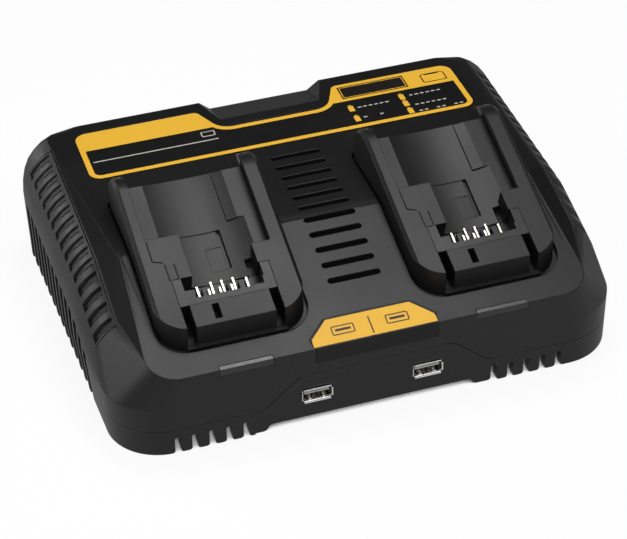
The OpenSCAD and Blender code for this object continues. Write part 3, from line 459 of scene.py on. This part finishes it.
# Ink heights rise from 0.04 mm where colours lie on one another, so that no two faces fall together.
icon_places = [(35.8, 54.4), (35.8, 45.4), (61.2, 56), (61.2, 50), (61.2, 43.4)]
printed("rear_label_yellow", ink_yellow,
        [(outline, border, True)] + [b for x, y in icon_places for b in pack_icon(x, y)],
        on_deck, 0.04)
printed("rear_label_headers", ink_yellow, [header(-1), header(1)], on_deck, 0.05)
printed("rear_label_pale", ink_pale,
        [battery(-32.6, 56.7, 3.3, 2.2, 0.55), bar(-35, 58, -30.2, 59), bar(-87.6, 50.9, -29, 51.6)]
        + [bar(x, y - 0.4, x + 1.7, y + 0.4) for x, y in
           [(39 + 2.7 * i, 54.2) for i in range(6)] + [(39 + 8 * i, 45.4) for i in range(2)]
           + [(65 + 2.7 * i, 56) for i in range(6)] + [(65 + 2.7 * i, 47.4) for i in range(6)]
           + [(65 + 2.7 * i + 3.2 * (i // 2), 41.8) for i in range(6)]],
        on_deck, 0.04)
printed("rear_label_dark", ink_dark,
        [bar(34.7, 63.2, 67.4, 73.7), battery(81.2, 67.6, 6, 3.8, 0.6), bar(77.6, 70.2, 84.8, 71.1)],
        on_deck, 0.06)
printed("rear_label_panel_line", ink_yellow,
        [frame_band([(35.4, 63.9), (66.7, 63.9), (66.7, 73), (35.4, 73)], 0.8, 0.4)],
        on_deck, 0.08)

MOUTH_X = (-13.2, 10.6)
mouth = [frame_band([(x - 5, -83), (x + 5, -83), (x + 5, -78.4), (x - 5, -78.4)], 0.8, 0.55)
         for x in MOUTH_X]
top_edge = np.array([[-27.6, -84.5], [-27.3, -82.6], [-19, -74.5], [18, -74.5], [26.3, -82.6], [26.6, -84.5]])
low_edge = top_edge * [1, 0] + [0, -86.6]
printed("front_label_yellow", ink_yellow, [(low_edge, top_edge, False)], on_slope, 0.04)
printed("front_label_dark", ink_dark,
        mouth + [bar(-1.5, -85.6, -0.9, -77)] + [bar(x - 3.4, -81.2, x + 3.4, -80) for x in MOUTH_X],
        on_slope, 0.07)


# ---------------------------------------------------------------- outlets
# The tube, in millimetres: half its width and height, its corner radius and the thickness of the sheet.
TUBE_HALF_W, TUBE_HALF_H, TUBE_R, SHEET = 6.55, 2.85, 0.5, 0.3
# The mouth lies MOUTH_BACK behind the front of the CAD piece. Its corner slits are SLIT deep, and each side's
# lip ends CORNER_FREE short of the corner.
MOUTH_BACK, SLIT, CORNER_FREE = 0.5, 0.6, 0.7
# A lip starts LIP_IN inside the tube's outer face, goes straight for LIP_ROOT and comes forward by LIP_RUN.
LIP_IN, LIP_ROOT, LIP_RUN = 0.29, 0.7, 0.48
# The springs: distance from the middle, width, thickness, length and rise.
SPRING_X, SPRING_W, SPRING_T, SPRING_LENGTH, SPRING_RISE = 3.1, 1.2, 0.2, 5, 0.85


def outlet(side):
    """Stamped receptacle. The shell is a rounded tube, slit at the corners of its mouth; between the slits
    four lips run on and bend outwards along a quarter circle; two sprung tongues rise from its floor along
    a raised cosine."""
    node = side + "_usb_shell"
    low, high = (np.array(v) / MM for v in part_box(node))
    x, z = (low[0] + high[0]) / 2, (low[2] + high[2]) / 2
    w, h, front = TUBE_HALF_W, TUBE_HALF_H, low[1] + MOUTH_BACK
    turn = np.concatenate([[0], np.linspace(0, math.pi / 2, 7)])
    root = np.where(np.arange(len(turn)) == 0, LIP_ROOT, 0)
    slit = front + SLIT
    bands = [frame_band([(x - w, z - h), (x + w, z - h), (x + w, z + h), (x - w, z + h)], TUBE_R, SHEET)
             + (lambda p, t: np.stack([p[:, 0], np.full(len(p), slit + t), p[:, 1]], 1), high[1] - slit)]
    lips = ([(out, h, w - CORNER_FREE, False) for out in (-1, 1)]
            + [(out, w, h - CORNER_FREE, True) for out in (-1, 1)])
    for out, half, span, upright in lips:
        start = half - LIP_IN
        reach = (high[0] - low[0] if upright else high[2] - low[2]) / 2 - start
        outer = np.stack([start + reach * (1 - np.cos(turn)), front + root - LIP_RUN * np.sin(turn)], 1)
        inner = outer + SHEET * np.stack([np.cos(turn), np.sin(turn)], 1)
        inner[:, 0] = np.minimum(inner[:, 0], start + reach)

        def place(p, t, out=out, span=span, upright=upright):
            along = np.full(len(p), t - span)
            if upright:
                return np.stack([x + out * p[:, 0], p[:, 1], z + along], 1)
            return np.stack([x + along, p[:, 1], z + out * p[:, 0]], 1)
        bands.append((outer, inner, False, place, 2 * span))
    run = np.linspace(0, 1, 9)
    rise = SPRING_RISE * (1 - np.cos(2 * np.pi * run)) / 2
    top = np.stack([slit + SPRING_LENGTH * run, z - h + SHEET + rise], 1)
    for middle in (-SPRING_X, SPRING_X):
        def across(p, t, start=x + middle - SPRING_W / 2):
            return np.stack([np.full(len(p), start + t), p[:, 0], p[:, 1]], 1)
        bands.append((top, top + [0, SPRING_T], False, across, SPRING_W))
    piece = solid(side + "_outlet_shell", stainless, bands)
    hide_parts(node)


outlet("left")
outlet("right")


# ---------------------------------------------------------------- floor, lights, camera
def ray_kinds(tree):
    """Whether a ray comes from the camera, and whether a mirror or glass sent it."""
    seen = add(tree, "LightPath")
    mirror = add(tree, "Math", [(0, seen.outputs["Is Glossy Ray"]), (1, seen.outputs["Is Transmission Ray"])],
                 operation="MAXIMUM")
    return seen.outputs["Is Camera Ray"], mirror.outputs["Value"]


def lay_floor():
    """Pale paper floor: white to the camera, dimmer to mirrors, with a tenth of its own shading, so that it
    keeps a little of the object's soft shadow."""
    m, t, paper, place = begin("paper_sweep_white")
    out = t.nodes["Material Output"]
    paper.inputs["Base Color"].default_value = lin("#f2f2f2")
    paper.inputs["Roughness"].default_value = 0.9
    from_camera, from_mirror = ray_kinds(t)
    # The key light falls in front of the object, so the paper beside it, which its sides mirror, is dimmer.
    along = add(t, "SeparateXYZ", [("Vector", place)])
    fall = add(t, "MapRange", [("Value", along.outputs["Y"])], From_Min=-0.11, From_Max=0.0,
               To_Min=0.68, To_Max=0.42)
    paled = add(t, "Math", [(0, from_mirror), (1, fall.outputs["Result"])], operation="MULTIPLY")
    any_ray = add(t, "Math", [(0, from_camera), (1, paled.outputs["Value"])], operation="MAXIMUM")
    # Under the housing hardly any light reaches the floor, so it goes dark there and stays white beside it.
    closed = add(t, "AmbientOcclusion", samples=16, Distance=0.02)
    reached = add(t, "MapRange", [("Value", closed.outputs["AO"])], From_Min=0.12, From_Max=0.3,
                  To_Min=0.04, To_Max=1.0)
    lit = add(t, "Math", [(0, any_ray.outputs["Value"]), (1, reached.outputs["Result"])],
              operation="MULTIPLY")
    glow = add(t, "Emission", [("Strength", lit.outputs["Value"])])
    mixed = add(t, "MixShader", [(1, paper.outputs["BSDF"]), (2, glow.outputs["Emission"])], Fac=0.9)
    t.links.new(out.inputs["Surface"], mixed.outputs["Shader"])
    half = 3.0
    mesh = bpy.data.meshes.new("floor")
    corners = [(-half, -half, 0), (half, -half, 0), (half, half, 0), (-half, half, 0)]
    mesh.from_pydata(corners, [], [(0, 1, 2, 3)])
    floor = bpy.data.objects.new("floor", mesh)
    scene.collection.objects.link(floor)
    floor.data.materials.append(m)


def soft_light(name, where, aim, size, power):
    """A white rectangular soft box at where, turned to aim, in metres and watts."""
    data = bpy.data.lights.new(name, "AREA")
    data.shape = "RECTANGLE"
    data.size, data.size_y = size
    data.energy = power
    lamp = bpy.data.objects.new(name, data)
    scene.collection.objects.link(lamp)
    lamp.location = where
    lamp.rotation_euler = (Vector(aim) - Vector(where)).to_track_quat("-Z", "Y").to_euler()


lay_floor()
soft_light("top_box", (0.09, 0.1, 0.75), (0, -0.05, 0.05), (0.38, 0.26), 2.7)
soft_light("key_box", (0.15, -0.85, 1.15), (0, 0, 0.03), (1.2, 0.7), 11)
soft_light("left_box", (-0.75, -0.35, 0.85), (0, 0, 0.03), (0.45, 0.5), 3.0)
soft_light("rim_box", (-0.95, 0.5, 0.27), (0, 0, 0.04), (1.3, 0.35), 5.0)

world = bpy.data.worlds.new("studio")
scene.world = world
world.use_nodes = True
tree = world.node_tree
back = tree.nodes["Background"]
back.inputs["Color"].default_value = lin("#ffffff")
from_camera, from_mirror = ray_kinds(tree)
# White for the camera; mirrors and glass see it as a band above the horizon, with the dim studio over it.
way = add(tree, "SeparateXYZ", [("Vector", add(tree, "TexCoord").outputs["Object"])])
low_sky = add(tree, "MapRange", [("Value", way.outputs["Z"])], From_Min=0.0, From_Max=0.05,
              To_Min=0.6, To_Max=0.0)
part = add(tree, "Math", [(0, low_sky.outputs["Result"]), (1, from_mirror)], operation="MULTIPLY")
white = add(tree, "Math", [(0, part.outputs["Value"]), (1, from_camera)], operation="MAXIMUM")
DIM = 0.03  # the studio round the object
level = add(tree, "Math", [(0, white.outputs["Value"])], operation="MULTIPLY_ADD")
level.inputs[1].default_value = 1 - DIM
level.inputs[2].default_value = DIM
tree.links.new(back.inputs["Strength"], level.outputs["Value"])

YAW, ELEVATION, ROLL = math.radians(16.43), math.radians(36.67), math.radians(-2.02)
CAMERA_MM, FOCAL_MM, SENSOR_MM = (-217.5, -733.45, 583.6), 120.6, 36
level_ahead = math.cos(ELEVATION)
ahead = Vector((math.sin(YAW) * level_ahead, math.cos(YAW) * level_ahead, -math.sin(ELEVATION)))
across = Vector((math.cos(YAW), -math.sin(YAW), 0))
upward = across.cross(ahead)
cam_x = across * math.cos(ROLL) + upward * math.sin(ROLL)
cam_y = upward * math.cos(ROLL) - across * math.sin(ROLL)
lens = bpy.data.cameras.new("camera")
lens.sensor_width = SENSOR_MM
lens.lens = FOCAL_MM
camera = bpy.data.objects.new("camera", lens)
scene.collection.objects.link(camera)
basis = Matrix((cam_x, cam_y, -ahead)).transposed().to_4x4()
camera.matrix_world = Matrix.Translation(Vector(CAMERA_MM) * MM) @ basis
scene.camera = camera
scene.view_settings.view_transform = "Standard"
